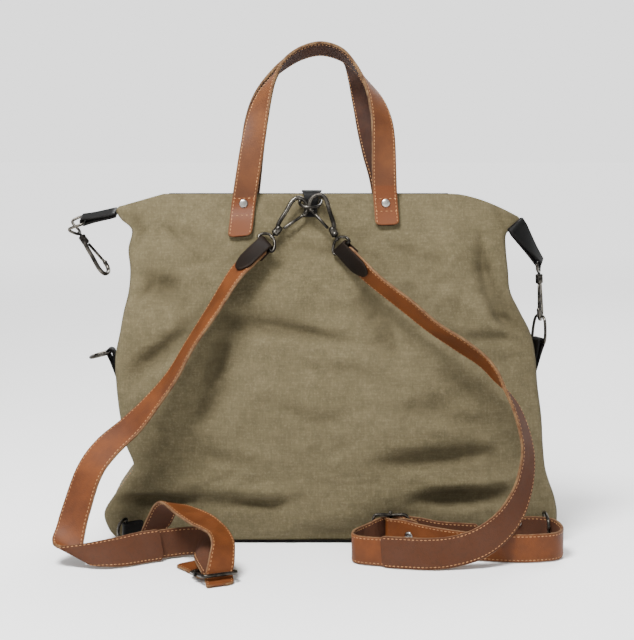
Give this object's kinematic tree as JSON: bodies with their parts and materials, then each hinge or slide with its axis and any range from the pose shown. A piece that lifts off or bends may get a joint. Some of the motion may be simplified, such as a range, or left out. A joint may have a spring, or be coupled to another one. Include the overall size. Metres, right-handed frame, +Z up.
{
  "type": "convertible backpack",
  "caption": "Canvas duffel-shaped backpack with leather handles and shoulder straps, folded ears at the top, snap hooks, D-rings and buckled strap ends.",
  "frame": {"origin": "middle of the underside of the whole, on the floor", "axes": "+X along the bag to the right seen from the strap side, +Y away from the strap side, +Z up"},
  "size_m": [0.5002, 0.3008, 0.5094],
  "materials": {
    "canvas": "washed olive-brown canvas",
    "zip": "dark tape and teeth",
    "tan_leather": "waxed tan leather with pale edges",
    "brown_leather": "dark brown leather",
    "black_leather": "black leather",
    "nickel": "dark antique nickel",
    "rivet": "polished nickel rivet"
  },
  "bodies": {
    "bag": {"bag_body": "canvas", "zip": "zip", "handle_near": "tan_leather", "handle_far": "tan_leather", "left_shoulder_strap": "tan_leather", "right_shoulder_strap": "tan_leather", "left_end_strap": "tan_leather", "right_end_strap": "tan_leather", "left_buckle_strap": "tan_leather", "right_buckle_strap": "tan_leather", "left_strap_tab": "brown_leather", "right_strap_tab": "brown_leather", "base_panel": "black_leather", "left_ear_tab": "black_leather", "right_ear_tab": "black_leather", "left_side_tab": "black_leather", "right_side_tab": "black_leather", "left_foot_tab": "black_leather", "right_foot_tab": "black_leather", "top_tab": "black_leather", "left_strap_hook_body": "nickel", "left_strap_hook_eye": "nickel", "right_strap_hook_body": "nickel", "right_strap_hook_eye": "nickel", "left_ear_hook_eye": "nickel", "right_ear_hook_body": "nickel", "right_ear_hook_eye": "nickel", "top_d_ring": "nickel", "left_side_d_ring": "nickel", "right_side_d_ring": "nickel", "left_foot_d_ring": "nickel", "right_foot_d_ring": "nickel", "right_buckle": "nickel", "left_buckle": "nickel", "near_left_rivet": "rivet", "near_right_rivet": "rivet", "far_left_rivet": "rivet", "far_right_rivet": "rivet", "buckle_rivet": "rivet", "ring_rivet": "rivet"},
    "left_ear_hook": {"left_ear_hook_body": "nickel"},
    "left_strap_hook_gate": {"left_strap_hook_gate": "nickel"},
    "right_strap_hook_gate": {"right_strap_hook_gate": "nickel"},
    "left_ear_hook_gate": {"left_ear_hook_gate": "nickel"},
    "right_ear_hook_gate": {"right_ear_hook_gate": "nickel"}
  },
  "joints": [
    {"name": "left_ear_hook_swivel", "type": "hinge", "parent": "bag", "child": "left_ear_hook", "pos_m": [-0.23426, 0.06437, 0.3057], "axis": [0.5549, 0, -0.8319], "range_deg": [-90, 90]},
    {"name": "left_strap_hook_gate_hinge", "type": "hinge", "parent": "bag", "child": "left_strap_hook_gate", "pos_m": [-0.02827, 0.0362, 0.31885], "axis": [0.1663, -0.9683, 0.1863], "range_deg": [0, 15], "stiffness_Nm_per_rad": 0.01, "springref_deg": -11.46},
    {"name": "right_strap_hook_gate_hinge", "type": "hinge", "parent": "bag", "child": "right_strap_hook_gate", "pos_m": [0.01673, 0.03172, 0.31918], "axis": [0.1294, 0.9609, -0.2449], "range_deg": [0, 15], "stiffness_Nm_per_rad": 0.01, "springref_deg": -11.46},
    {"name": "left_ear_hook_gate_hinge", "type": "hinge", "parent": "left_ear_hook", "child": "left_ear_hook_gate", "pos_m": [-0.23028, 0.0675, 0.30167], "axis": [-0.7865, 0.3258, -0.5247], "range_deg": [0, 15], "stiffness_Nm_per_rad": 0.01, "springref_deg": -11.46},
    {"name": "right_ear_hook_gate_hinge", "type": "hinge", "parent": "bag", "child": "right_ear_hook_gate", "pos_m": [0.23455, 0.06157, 0.25956], "axis": [0.9599, -0.2764, 0.048], "range_deg": [0, 15], "stiffness_Nm_per_rad": 0.01, "springref_deg": -11.46}
  ]
}
